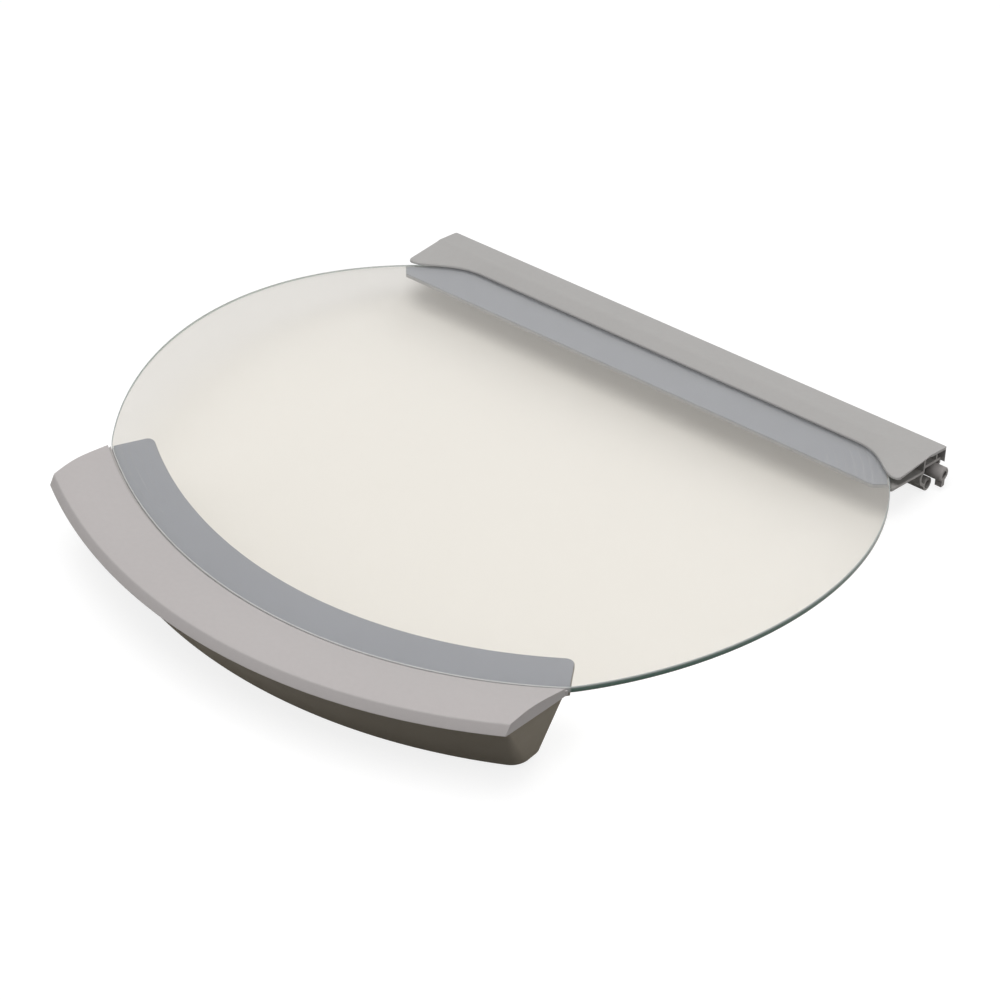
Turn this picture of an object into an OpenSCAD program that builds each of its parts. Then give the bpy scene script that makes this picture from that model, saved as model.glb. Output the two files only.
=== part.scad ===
// Round glass lid of a top-loading washing machine.
// The front is towards -Y, the hinge is at +Y, and the lid lies on its handle and its hinge bar.
// Most sizes are measured from the middle of the round glass; the last step moves the origin to
// the middle of the lid's outline, on the resting plane.

/* [Glass] */
// Radius of the round glass, seen from above
glass_r = 235; // [230:1:240]
// Thickness of the tempered glass
glass_t = 4; // [3.2:0.2:4.6]
// Radius that the glass is bent to, from front to rear
bend_r = 1316; // [1250:2:1400]
// How far the highest line of the glass lies in front of its middle
crown_front = 101; // [96:1:106]
// Height of the glass above the resting plane at the top of its rear edge
rear_glass_h = 23; // [21:0.5:25]
// How much the flatter front edge takes off the round, in the middle
front_cut = 23.5; // [20:0.5:28]
// Radius of that front edge, seen from above
front_arc_r = 316; // [310:1:322]
// How much the straight rear edge takes off the round
rear_cut = 66; // [62:0.5:72]

/* [Bonding] */
// Thickness of the two adhesive strips under the glass
bond_t = 0.8; // [0.5:0.1:1.2]
// How far an adhesive strip stays inside the edge of its flange
bond_inset = 1.2; // [0.5:0.1:3]

/* [Handle] */
// How far the handle reaches past the front corners of the glass, to its flat end faces
handle_over = 3.1; // [2.4:0.1:5]
// How much further out each end face stands at its rear than at its front
end_flare = 1.4; // [0:0.2:2]
// How far the flange reaches in under the glass
flange_w = 28; // [24:0.5:32]
// Thickness of the flange under the glass
flange_t = 2.4; // [2:0.1:3.2]
// How much narrower the flange is at each end of its inner edge than the handle
flange_taper = 9.5; // [7:0.5:12]
// Angle of the flange's ends, which spread towards the edge of the glass
flange_slant = 31; // [26:1:36]
// How far those ends stay inside the round edge of the glass
flange_margin = 1.3; // [0.8:0.1:2]
// Radius of the flange's inner corners
flange_corner = 4.5; // [3:0.5:6]
// Distance from the glass edge to the crease along the front of the lip
crease_out = 36.5; // [34:0.5:39]
// Height of the crease above the glass edge
crease_h = 8.4; // [7:0.2:10]
// Distance from the glass edge to the outer edge of the lip
lip_out = 41; // [39.5:0.5:44]
// Height of the outer edge above the glass edge
lip_edge_h = 2.3; // [1.4:0.1:3]
// Wall thickness of the upper moulding
lip_t = 2.2; // [1.8:0.1:2.8]
// Gap between the glass edge and the lip
edge_gap = 0.4; // [0.2:0.1:0.8]
// Seam between the two handle mouldings
seam = 0.2; // [0.15:0.05:0.4]

/* [Handle shell] */
// How far the front wall stands out from the glass edge at its foot
keel_out = 12; // [9:0.5:15]
// How far the rear wall stands in from the glass edge at its foot
keel_in = 7; // [4:0.5:10]
// How much narrower the shell is at each end of its foot than the handle
keel_taper = 11.5; // [8:0.5:16]
// Corner radius of the shell at its foot, seen from above
keel_corner = 13; // [8:0.5:18]
// Rounding between the walls and the foot
keel_fillet = 2.6; // [2:0.2:4]
// Wall thickness of the lower moulding
shell_t = 2.5; // [2:0.1:3.2]
// Number of stiffening ribs in the shell and in the lip
handle_ribs = 7; // [3:1:11]

/* [Bumpers] */
// How far the rubber bumpers stand out of the shell's foot
bumper_h = 1.2; // [0.8:0.1:2]
// Radius of a bumper's head
bumper_r = 4; // [3:0.25:4.5]
// Radius of a bumper's stem
bumper_stem_r = 2; // [1.5:0.1:2.4]

/* [Hinge cover] */
// How far the cover's front tips reach past each end of the bracket
cover_over = 1; // [0.4:0.1:2]
// How much wider each end gets towards the rear edge
cover_flare = 2; // [0:0.25:3]
// How far the cover's front edge laps over the rear edge of the glass
cover_lap = 7.5; // [6.5:0.5:10]
// How much further forward its two front tips reach
cover_sweep = 23; // [18:0.5:26]
// Length of the curve from the straight front edge to a tip
sweep_len = 51; // [40:1:60]
// Distance from the rear edge of the glass to the bend along the cover
bend_back = 4; // [3.6:0.1:6]
// Height of that bend above the glass
bend_rise = 7.4; // [6.8:0.1:8]
// Distance from the bend to the rear edge of the cover
rear_back = 19.4; // [19:0.2:22]
// How much lower the rear edge lies than the bend
rear_drop = 3.4; // [2.6:0.2:3.8]
// Depth of the skirt along the rear edge
skirt_h = 11; // [8:0.5:13]
// Wall thickness of the cover
cover_t = 1.8; // [1.5:0.1:2.2]

/* [Hinge bracket] */
// Half of the bracket's length
bracket_half = 195; // [194:0.25:196]
// How far the bracket's flange reaches in under the glass
bracket_reach = 44.5; // [36:0.5:46]
// Width of the slanted cut at each front corner of the flange
bracket_cut = 9; // [4:0.5:14]
// Wall thickness of the bracket
bracket_t = 1.8; // [1.6:0.1:2.2]
// Outer radius of the tube along the bracket's foot
foot_r = 4.4; // [4:0.1:4.8]
// Radius of the hollow in that tube
foot_bore_r = 2.8; // [1.6:0.1:3.2]
// Distance from the rear edge of the glass to the middle of that tube
foot_back = 8; // [7.5:0.25:9]

/* [Hinge pins] */
// Distance from the rear edge of the glass to the hinge axis
axis_back = 13; // [12.5:0.25:14]
// Height of the hinge axis above the resting plane
axis_h = 12.6; // [12.2:0.1:13.4]
// Radius of a hinge pin
pin_r = 4.8; // [4.4:0.1:4.9]
// Radial running clearance of a pin in its barrel
pin_clearance = 0.05; // [0.02:0.01:0.1]
// Radius of the hollow in a pin's outer end
pin_bore_r = 2.3; // [1.8:0.1:2.8]
// Depth of that hollow
pin_bore_depth = 14; // [8:1:20]
// How far a pin reaches past the end of the bracket
pin_reach = 8.4; // [7.4:0.2:12]
// Wall thickness of a barrel
barrel_t = 2.2; // [1.8:0.1:2.4]
// Length of a barrel
barrel_len = 34; // [28:1:44]
// How far a barrel is set back from the end of the bracket
barrel_inset = 9; // [6:0.5:12]
// Distance from the hinge axis to the tip of a pin's key
key_reach = 9; // [8:0.25:10.5]
// Thickness of the key
key_t = 3.4; // [2.4:0.2:4]

/* [Fasteners] */
// Radius of a cover screw's shank
screw_r = 1.5; // [1.3:0.05:1.7]
// Radius of a cover screw's head
screw_head_r = 3.1; // [2.7:0.1:3.4]
// Height of a cover screw's head
screw_head_h = 2.2; // [1.8:0.1:2.6]
// Distance between neighbouring cover screws
screw_pitch = 63; // [56:1:68]
// Thickness of the clip rings on the pins
clip_t = 1; // [0.8:0.1:1.4]
// Outer radius of the clip rings
clip_r = 7; // [6.4:0.1:7.4]

/* [Hidden] */

fine = 360;      // facets of the large circles
round_fn = 48;   // facets of small circles
far = 400;       // reach of a cutting shape past the lid
eps = 0.01;      // overlap that joins two shapes of one piece
corner_steps = 8; // straight steps along a rounded corner

glass_front = glass_r - front_cut;
glass_rear = glass_r - rear_cut;
bend_y = -crown_front;
bend_z = rear_glass_h - sqrt(pow(bend_r, 2) - pow(glass_rear - bend_y, 2));
function top_z(y) = bend_z + sqrt(pow(bend_r, 2) - pow(y - bend_y, 2));
function under_z(y) = top_z(y) - glass_t;

// The front edge of the glass: an arc about [0, arc_y] that meets the round edge at the corners
arc_y = front_arc_r - glass_front;
corner_y = (pow(arc_y, 2) - pow(front_arc_r, 2) + pow(glass_r, 2)) / (2 * arc_y);
corner_x = sqrt(pow(glass_r, 2) - pow(corner_y, 2));
edge_z = top_z(-glass_front);
edge_tilt = atan((top_z(corner_y) - edge_z) / (corner_y + glass_front));
handle_half = corner_x + handle_over;
sweep_half = asin(min(1, (handle_half + 6) / front_arc_r));

// Places along the rear, measured from the middle of the glass, and heights there
cover_front = glass_rear - cover_lap;
cover_tip = cover_front - cover_sweep;
cover_bend = glass_rear + bend_back;
cover_rear = cover_bend + rear_back;
cover_half = bracket_half + cover_over;
sweep_start = cover_half - sweep_len;
bend_h = top_z(cover_bend) + bend_rise;
rear_h = bend_h - rear_drop;
bracket_front = glass_rear - bracket_reach;
bracket_front_half = bracket_half - bracket_cut;
foot_y = glass_rear + foot_back;
axis_y = glass_rear + axis_back;

// The outline's front and rear, and the move that centres it
lip_front = glass_front + lip_out * cos(edge_tilt) + lip_edge_h * sin(edge_tilt);
shift_y = (lip_front - cover_rear) / 2;

module place() { translate([0, shift_y, 0]) children(); }

// Children lie in the plane of the front glass edge, around the middle of its arc
module on_front_edge()
    translate([0, -glass_front, edge_z]) rotate([edge_tilt, 0, 0])
        translate([0, front_arc_r, 0]) children();

// A section in distance from the glass edge and height above it, swept along the front arc
module swept(section)
    on_front_edge() rotate([0, 0, -90 - sweep_half])
        rotate_extrude(angle = 2 * sweep_half, $fn = fine)
            translate([front_arc_r, 0]) polygon(section);

// A profile in Y and Z, drawn along X over the half length
module along_x(half) rotate([90, 0, 90]) translate([0, 0, -half]) linear_extrude(2 * half) children();

// A layer that follows the bend of the glass, from depth a to depth b below its top
module bent_layer(a, b, half = far)
    along_x(half) intersection() {
        translate([bend_y, bend_z]) difference() {
            circle(bend_r - a, $fn = 4 * fine);
            circle(bend_r - b, $fn = 4 * fine);
        }
        translate([-far, -far]) square([2 * far, 2 * far]);
    }

module plan(height = far) translate([0, 0, -height / 2]) linear_extrude(height) children();

function bezier(p, n) = [for (i = [0:n]) let (t = i / n, s = 1 - t)
    s * s * s * p[0] + 3 * s * s * t * p[1] + 3 * s * t * t * p[2] + t * t * t * p[3]];
function mix(a, b, t) = a + (b - a) * t;
function polar(r, a) = r * [cos(a), sin(a)];

// Glass

module glass_panel() {
    color([0.80, 0.87, 0.84, 0.35]) place()
        intersection() {
            bent_layer(0, glass_t);
            plan() intersection() {
                circle(glass_r, $fn = fine);
                translate([0, arc_y]) circle(front_arc_r, $fn = fine);
                translate([-far, -far]) square([2 * far, far + glass_rear]);
            }
        }
}

// Handle: plan shapes

// The area under the glass that the front flange covers, shrunk by inset on its free sides
module flange_plan(inset, outer) {
    r_in = front_arc_r - flange_w + inset;
    // a point of the end line, and the line's slope there
    half = handle_half - flange_taper - inset / cos(flange_slant);
    y_in = arc_y - sqrt(pow(front_arc_r - flange_w, 2) - pow(handle_half - flange_taper, 2));
    lean = -flange_slant;
    slope = tan(lean);
    y_top = y_in + 10;
    corner = max(flange_corner - inset, 1);
    // middle of the round corner: as far from the inner arc as from the end line
    c_off = corner / cos(lean);
    a = 1 + slope * slope;
    x0 = half - c_off - slope * (y_in - arc_y);
    b = 2 * slope * x0;
    c = x0 * x0 - (r_in + corner) * (r_in + corner);
    cy = (-b - sqrt(b * b - 4 * a * c)) / (2 * a);
    cx = x0 + slope * cy;
    turn = atan2(-cy, -cx);
    difference() {
        intersection() {
            translate([0, arc_y]) difference() {
                circle(outer, $fn = fine);
                circle(r_in, $fn = fine);
            }
            polygon([for (side = [1, -1], y = side > 0 ? [y_top, -far] : [-far, y_top])
                        [side * (half + slope * (y - y_in)), y]]);
            circle(glass_r - flange_margin - inset, $fn = fine);
        }
        for (flip = [0, 1]) mirror([flip, 0]) translate([cx, cy + arc_y])
            polygon(concat([for (i = [0:corner_steps])
                               polar(corner + 2 * eps, mix(-lean, turn, i / corner_steps))],
                           [for (i = [2:-1:0]) polar(3 * corner, mix(-lean, turn, i / 2))]));
    }
}

// Handle: upper moulding

// The lip's top line: it starts just above the glass, climbs, and flattens out up to the crease
lip_start_h = 0.3;
lip_top = bezier([[edge_gap, lip_start_h], [18, crease_h * 0.86], [22, crease_h + 0.7],
                  [crease_out, crease_h]], 14);
lip_nose = [[crease_out + 0.9, crease_h - 0.3], [crease_out + 1.5, crease_h - 1.1],
            [lip_out - 0.2, lip_edge_h + 0.5], [lip_out, lip_edge_h]];
rim_in = edge_gap + lip_t;

// The seam under the lip is a straight line in section, from the shell's rear wall to the lip's edge
lip_foot = -(glass_t + bond_t);
shell_top_in = -1.5;
nose_in = lip_out - 1.4;
function rim_h(out) = mix(lip_foot, lip_edge_h - 0.2, (out - shell_top_in) / (nose_in - shell_top_in));

module lip_skin() {
    inner = [for (i = [len(lip_top) - 1:-1:1]) if (lip_top[i][0] > rim_in)
                [min(lip_top[i][0] - 0.3, crease_out - lip_t * 0.6), lip_top[i][1] - lip_t]];
    swept(concat(lip_top, lip_nose, [[nose_in, rim_h(nose_in)]], inner,
                 [[rim_in, lip_start_h - lip_t], [rim_in, rim_h(rim_in)], [edge_gap, rim_h(edge_gap)]]));
}

module lip_block() swept(concat(lip_top, lip_nose,
    [[nose_in, rim_h(nose_in)], [edge_gap, rim_h(edge_gap)]]));

lip_rib_t = 1.6;
shell_rib_t = 1.8;
shell_rib_out = 30;

// The ribs share the length of the foot, so that one bumper fits between the last two at each end
function rib_angle(i) = (i - (handle_ribs - 1) / 2) * 2 * asin(keel_half / bumper_ring) / handle_ribs;

module rib_plates(thickness, from_out, to_out)
    on_front_edge() for (i = [0:handle_ribs - 1])
        rotate([0, 0, -90 + rib_angle(i)]) translate([front_arc_r + from_out, -thickness / 2, -far / 2])
            cube([to_out - from_out, thickness, far]);

// Area between the handle's two end faces, which stand further apart at the rear
end_front_y = arc_y - sqrt(pow(front_arc_r + lip_out, 2) - pow(handle_half, 2));
module between_ends(inset) polygon([for (side = [1, -1], y = side > 0 ? [far, -far] : [-far, far])
    [side * (handle_half - inset + end_flare * (y - end_front_y) / (corner_y - end_front_y)), y]]);

module handle_lip() {
    color([0.72, 0.71, 0.70]) place() intersection() {
        union() {
            intersection() { lip_skin(); plan() between_ends(0); }
            intersection() {
                lip_block();
                plan() between_ends(0);
                union() {
                    plan() difference() {
                        square([1.8 * far, 1.8 * far], center = true);
                        between_ends(lip_t);
                    }
                    rib_plates(lip_rib_t, 0, nose_in - 0.6);
                }
            }
        }
    }
}

// Handle: lower moulding

shell_top_out = lip_out - 3.4;
keel_half = handle_half - keel_taper;
foot_z = bumper_h;
end_step = 1.2;  // how far the shell's ends stand back from the lip's
n_side = 16;
n_turn = 6;

// Closed outline of the shell seen from above: front arc, rounded corners, ends and rear arc
function shell_half_loop(r_f, r_b, half, corner, flare) = let (
        cf = [half - corner, -sqrt(pow(r_f - corner, 2) - pow(half - corner, 2))],
        rc = corner * 0.4,
        xb = half + flare - rc,
        cb = [xb, -sqrt(pow(r_b + rc, 2) - pow(xb, 2))],
        af = atan2(cf[1], cf[0]),
        ab = atan2(cb[1], cb[0]))
    concat(
        [for (i = [0:n_side]) let (a = mix(-90, af, i / n_side)) r_f * [cos(a), sin(a)]],
        [for (i = [1:n_turn]) let (a = mix(af, 0, i / n_turn)) cf + corner * [cos(a), sin(a)]],
        [for (i = [0:n_turn]) let (a = mix(0, ab + 180, i / n_turn)) cb + rc * [cos(a), sin(a)]],
        [for (i = [1:n_side]) let (a = mix(ab, -90, i / n_side)) r_b * [cos(a), sin(a)]]);
function shell_loop(r_f, r_b, half, corner, flare) = let (
        h = shell_half_loop(r_f, r_b, half, corner, flare),
        m = len(h))
    concat(h, [for (i = [m - 2:-1:1]) [-h[i][0], h[i][1]]]);

// Height of the seam under the lip at a point of the plan
function seam_z(p) = let (h = rim_h(norm(p) - front_arc_r) - seam)
    edge_z + h + (p[1] + arc_y + glass_front) * tan(edge_tilt);

// One outline between the seam (t = 0) and the foot (t = 1), shrunk by inset and raised by lift
function shell_ring(t, wall, inset, lift) = let (
        loop = shell_loop(front_arc_r + mix(shell_top_out, keel_out, t) - inset,
                          front_arc_r + mix(shell_top_in, -keel_in, t) + inset,
                          mix(handle_half - end_step, keel_half, t) - inset,
                          max(mix(2.5, keel_corner, t) - inset, 1),
                          mix(end_flare, 0, t)))
    [for (p = loop) [p[0], p[1] + arc_y, mix(seam_z(p), foot_z + wall, t) + lift]];

// Faces of a skin through m rings of n points, and of a cap that joins a ring's front to its rear
function skin_faces(n, m) = [for (k = [0:m - 2], i = [0:n - 1]) let (j = (i + 1) % n)
    each [[k * n + i, k * n + j, (k + 1) * n + j], [k * n + i, (k + 1) * n + j, (k + 1) * n + i]]];
function cap_faces(n, first, flip) = let (half = n / 2)
    [for (i = [0:(half - 3) / 2], side = [0, 1]) let (
            q = side == 0 ? [i, i + 1, half - i - 1, half - i]
                          : [half + i, half + i + 1, n - i - 1, (n - i) % n],
            r = flip ? [q[3], q[2], q[1], q[0]] : q)
        each [[first + r[0], first + r[1], first + r[2]], [first + r[0], first + r[2], first + r[3]]]];

shell_depth = edge_z + lip_foot - foot_z;
fillet_t = keel_fillet / shell_depth;
fillet_steps = 4;

// The shell's body, or with a wall thickness the hollow inside it, which stays open at the top
module shell_solid(wall) {
    rings = concat(
        wall > 0 ? [shell_ring(0, wall, wall, far / 10)] : [],
        [for (t = [0, 0.3, 0.6, 1 - fillet_t]) shell_ring(t, wall, wall, 0)],
        [for (i = [1:fillet_steps]) let (a = 90 * i / fillet_steps)
            shell_ring(1 - fillet_t * (1 - sin(a)), wall, wall + keel_fillet * (1 - cos(a)), 0)]);
    n = len(rings[0]);
    m = len(rings);
    polyhedron(points = [for (r = rings) each r], convexity = 8,
               faces = concat(skin_faces(n, m), cap_faces(n, 0, true),
                              cap_faces(n, (m - 1) * n, false)));
}

shell_flange_out = front_arc_r + edge_gap + lip_t + 1;

module handle_shell() {
    color([0.52, 0.50, 0.49]) place() difference() {
        union() {
            difference() {
                shell_solid(0);
                difference() {
                    shell_solid(shell_t);
                    rib_plates(shell_rib_t, -keel_in, shell_rib_out);
                }
            }
            intersection() {
                bent_layer(glass_t + bond_t, glass_t + bond_t + flange_t);
                plan() flange_plan(0, shell_flange_out);
            }
        }
        for (side = [-1, 1]) bumper_at(side) translate([0, 0, -1])
            cylinder(r = bumper_stem_r + 0.1, h = foot_z + shell_t + 2, $fn = round_fn);
    }
}

module handle_bond() {
    color([0.63, 0.64, 0.66]) place() intersection() {
        bent_layer(glass_t, glass_t + bond_t);
        plan() flange_plan(bond_inset, front_arc_r - bond_inset);
    }
}

bumper_ring = front_arc_r + (keel_out - keel_in) / 2;
module bumper_at(side) let (p = polar(bumper_ring, side * rib_angle(handle_ribs - 1.5) - 90))
    translate([p[0], arc_y + p[1], 0]) children();

module bumper(side) {
    color([0.25, 0.25, 0.26]) place() bumper_at(side) rotate_extrude($fn = round_fn) polygon([
        [0, 0], [bumper_r - 0.5, 0], [bumper_r, 0.5], [bumper_r, foot_z],
        [bumper_stem_r, foot_z], [bumper_stem_r, foot_z + shell_t + 0.2],
        [bumper_stem_r + 0.7, foot_z + shell_t + 0.2], [bumper_stem_r - 0.5, foot_z + shell_t + 3],
        [0, foot_z + shell_t + 3]]);
}
module left_bumper() bumper(-1);
module right_bumper() bumper(1);

// Hinge cover

// How far the front edge has moved to the tips, from 0 in the middle to 1 at the ends
function sweep_share(x) = let (u = max(0, min(1, (abs(x) - sweep_start) / (cover_half - 3 - sweep_start))),
        v = pow(u, 1.55)) v * v * (3 - 2 * v);
function front_y(x) = mix(cover_front, cover_tip, sweep_share(x));
function cover_end(y) = cover_half + cover_flare * (y - cover_tip) / (cover_rear - cover_tip);

cover_gap = 0.3;
front_t = 1.6;
steps = 44;
function station(i) = let (u = 2 * i / steps - 1) sign(u) * (1 - pow(1 - abs(u), 1.5));

function cover_section(s) = let (
        x_tip = s * cover_half,
        yf = front_y(x_tip),
        z0 = top_z(yf) + cover_gap)
    [for (p = [[yf, z0], [yf + 0.1, z0 + front_t - 0.4], [yf + 0.6, z0 + front_t],
               [cover_bend - 3, bend_h - 0.25], [cover_bend, bend_h], [cover_bend + 3, bend_h - 0.5],
               [cover_rear - 1.8, rear_h + 0.3], [cover_rear - 0.4, rear_h - 0.4],
               [cover_rear, rear_h - 2], [cover_rear, rear_h - skirt_h],
               [cover_rear - cover_t, rear_h - skirt_h], [cover_rear - cover_t, rear_h - cover_t - 0.4],
               [cover_bend + 2.6, bend_h - cover_t - 0.6], [cover_bend, bend_h - cover_t],
               [yf + 2.5, z0 + 0.1]])
        [s * cover_end(p[0]), p[0], p[1]]];

module cover_skin() {
    rings = [for (i = [0:steps]) cover_section(station(i))];
    n = len(rings[0]);
    caps = [[for (i = [n - 1:-1:0]) i], [for (i = [0:n - 1]) steps * n + i]];
    polyhedron(points = [for (r = rings) each r], faces = concat(skin_faces(n, steps + 1), caps),
               convexity = 6);
}

shelf_top = axis_h + pin_r + pin_clearance + barrel_t - 0.4;
shelf_under = shelf_top - bracket_t;
screw_y = axis_y;
boss_r = screw_r + 2;
boss_seat = 0.4;  // depth of the round seat in the shelf that locates a screw boss
pad_r = boss_r + 1.5;  // round pad of the sloping shelf, level where a screw passes
screw_bite = 5;  // length of a screw's thread inside its boss
function screw_x(i) = (i - 2) * screw_pitch;

module hinge_cover() {
    color([0.69, 0.68, 0.68]) place() difference() {
        union() {
            cover_skin();
            for (i = [0:4]) translate([screw_x(i), screw_y, shelf_top - boss_seat + 0.1])
                cylinder(r = boss_r, h = bend_h - cover_t - 0.6 - shelf_top, $fn = round_fn);
        }
        for (i = [0:4]) translate([screw_x(i), screw_y, shelf_top - 1])
            cylinder(r = screw_r + 0.05, h = screw_bite + 1.4, $fn = round_fn);
    }
}

// Hinge bracket

// The upright wall: it leans forward to its knee and runs back down into the foot tube
wall_y = cover_bend - 1.6;
wall_knee = [wall_y - 3.2, 13.2];
wall_low = [wall_y - 2.4, 9];
wall_line = [[wall_y, bend_h - cover_t - 2.1], [wall_y - 0.6, under_z(wall_y) - bond_t - 0.5],
             wall_knee, wall_low, [foot_y - 3, foot_r]];

// A wall of even thickness along a line of points in Y and Z, mitred at its corners
function normal_at(line, i) = let (d = line[i + 1] - line[i]) [-d[1], d[0]] / norm(d);
function mitre(line, i) = let (
        n = len(line),
        m = normal_at(line, max(i - 1, 0)) + normal_at(line, min(i, n - 2)))
    2 * m / (m * m);
module ribbon(line, thickness) let (n = len(line)) polygon(concat(
    [for (i = [0:n - 1]) line[i] + mitre(line, i) * thickness / 2],
    [for (i = [n - 1:-1:0]) line[i] - mitre(line, i) * thickness / 2]));

rear_y = cover_rear - cover_t - 0.3;
rib_y = axis_y + 2.5;
rib_t = 1.2;
cover_slope = (rear_h - bend_h) / (cover_rear - cover_bend);
function cover_under(y) = bend_h + cover_slope * (y - cover_bend) - cover_t - 0.9;

// Middle of the shelf, which slopes with the cover about the screws' line, and its rear flange
function shelf_mid(y) = shelf_top - bracket_t / 2 + cover_slope * (y - screw_y);
flange_y = rear_y - bracket_t / 2;
shelf_line = [[wall_y - 0.4, shelf_mid(wall_y - 0.4)], [flange_y, shelf_mid(flange_y)],
              [flange_y, shelf_mid(flange_y) - 4]];

module bracket_profile() {
    ribbon(wall_line, bracket_t);
    translate([foot_y, foot_r]) circle(foot_r, $fn = round_fn);
    ribbon(shelf_line, bracket_t);
    // upright rib that meets the cover
    translate([rib_y, shelf_mid(rib_y)]) square([rib_t, cover_under(rib_y + rib_t) - shelf_mid(rib_y)]);
}

// Area between the wall, the shelf and the foot tube that a cross rib fills
module rib_profile() polygon([
    [wall_y - 0.6, shelf_mid(wall_y)], wall_knee, wall_low,
    [foot_y - 2, 2 * foot_r - 0.6], [foot_y + 1, 2 * foot_r - 1], [flange_y, shelf_mid(flange_y)]]);

// Area in front of the wall, under the flange
gusset_len = 14;
module front_gusset() polygon([
    [wall_y - 0.6, under_z(wall_y) - bond_t - bracket_t],
    [wall_y - gusset_len, under_z(wall_y - gusset_len) - bond_t - bracket_t], wall_knee - [0, 0.8]]);

// The bore that a pin runs in, and the wider slot behind it that leaves room for the clip
module barrel_bore(side) at_pin(side) rotate([0, 90, 0]) {
    cylinder(r = pin_r + pin_clearance, h = pin_len + 1, $fn = round_fn);
    translate([0, 0, pin_reach + barrel_inset + barrel_len])
        cylinder(r = clip_r + 0.3, h = clip_t + 1, $fn = round_fn);
}

// The cross ribs stand between the screws, two to each stretch
rib_pitch = screw_pitch / 2;
cut_len = 10;  // length of the slanted cut at each front corner of the flange

module hinge_bracket() {
    barrel_r = pin_r + pin_clearance + barrel_t;
    color([0.62, 0.61, 0.60]) place() difference() {
        union() {
            along_x(bracket_half) bracket_profile();
            intersection() {
                bent_layer(glass_t + bond_t, glass_t + bond_t + bracket_t);
                plan() polygon([[-bracket_front_half, bracket_front], [bracket_front_half, bracket_front],
                    [bracket_half, bracket_front + cut_len], [bracket_half, wall_y],
                    [-bracket_half, wall_y], [-bracket_half, bracket_front + cut_len]]);
            }
            for (i = [-4.5:4.5]) translate([i * rib_pitch, 0, 0]) {
                along_x(bracket_t / 2) rib_profile();
                along_x(bracket_t / 2) front_gusset();
            }
            for (side = [-1, 1]) translate([side * (bracket_half - barrel_inset), axis_y, axis_h])
                rotate([0, -90 * side, 0]) cylinder(r = barrel_r, h = barrel_len, $fn = round_fn);
            for (i = [0:4]) translate([screw_x(i), screw_y, shelf_under])
                cylinder(r = pad_r, h = bracket_t, $fn = round_fn);
        }
        for (side = [-1, 1]) barrel_bore(side);
        along_x(bracket_half + 1) translate([foot_y, foot_r]) circle(foot_bore_r, $fn = round_fn);
        for (i = [0:4]) translate([screw_x(i), screw_y, shelf_under]) {
            translate([0, 0, -1]) cylinder(r = screw_r + 0.2, h = bracket_t + 2, $fn = round_fn);
            translate([0, 0, bracket_t - boss_seat])
                cylinder(r = boss_r + 0.3, h = 10, $fn = round_fn);
            translate([0, 0, -screw_head_h - 1])
                cylinder(r = screw_head_r + 0.3, h = screw_head_h + 1, $fn = round_fn);
        }
    }
}

module hinge_bond() {
    color([0.63, 0.64, 0.66]) place() intersection() {
        bent_layer(glass_t, glass_t + bond_t);
        plan() polygon([
            [-bracket_front_half + bond_inset, bracket_front + bond_inset],
            [bracket_front_half - bond_inset, bracket_front + bond_inset],
            [bracket_front_half + 1, bracket_front + cut_len - 2], [bracket_front_half - 6, wall_y - 3],
            [-bracket_front_half + 6, wall_y - 3], [-bracket_front_half - 1, bracket_front + cut_len - 2]]);
    }
}

// Foam strip between the cover and the top of the glass
module glass_seal() {
    color([0.20, 0.20, 0.21]) place() intersection() {
        bent_layer(-1, 0);
        plan() translate([-sweep_start, cover_front + 3.2]) square([2 * sweep_start, 4]);
    }
}

module cover_screw(i) {
    color([0.62, 0.63, 0.65]) place() translate([screw_x(i), screw_y, 0]) difference() {
        union() {
            translate([0, 0, shelf_under - screw_head_h])
                cylinder(r1 = screw_head_r - 0.6, r2 = screw_head_r, h = screw_head_h, $fn = round_fn);
            translate([0, 0, shelf_under - eps])
                cylinder(r = screw_r, h = bracket_t + screw_bite, $fn = round_fn);
        }
        translate([0, 0, shelf_under - screw_head_h - eps]) for (turn = [0, 90]) rotate(turn)
            translate([-1.5, -0.35, 0]) cube([3, 0.7, 1.2]);
    }
}
module cover_screw_1() cover_screw(0);
module cover_screw_2() cover_screw(1);
module cover_screw_3() cover_screw(2);
module cover_screw_4() cover_screw(3);
module cover_screw_5() cover_screw(4);

// Hinge pins

groove_t = clip_t + 0.2;
pin_len = pin_reach + barrel_inset + barrel_len + groove_t + 2.4;
// The key starts at the pin's outer end and stops short of the cover's
key_start = 0.4;
key_end = pin_reach - cover_flare - cover_over - 0.3;

// Children start at the outer end of a pin and lie along its axis, pointing into the bracket
module at_pin(side)
    translate([side * (bracket_half + pin_reach), axis_y, axis_h]) mirror([side > 0 ? 1 : 0, 0, 0])
        children();

module pin(side) {
    groove_x = pin_len - 2.2 - groove_t;
    color([0.60, 0.59, 0.59]) place() at_pin(side) difference() {
        union() {
            rotate([0, 90, 0]) rotate_extrude($fn = round_fn) polygon([
                [0, 0], [pin_r - 0.6, 0], [pin_r, 0.6], [pin_r, groove_x], [pin_r - 1, groove_x],
                [pin_r - 1, groove_x + groove_t], [pin_r, groove_x + groove_t],
                [pin_r - 0.6, pin_len], [0, pin_len]]);
            translate([key_start, -key_t / 2, -key_reach])
                cube([key_end - key_start, key_t, key_reach]);
        }
        translate([-1, 0, 0]) rotate([0, 90, 0])
            cylinder(r = pin_bore_r, h = pin_bore_depth + 1, $fn = round_fn);
    }
}
module left_pin() pin(-1);
module right_pin() pin(1);

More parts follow.
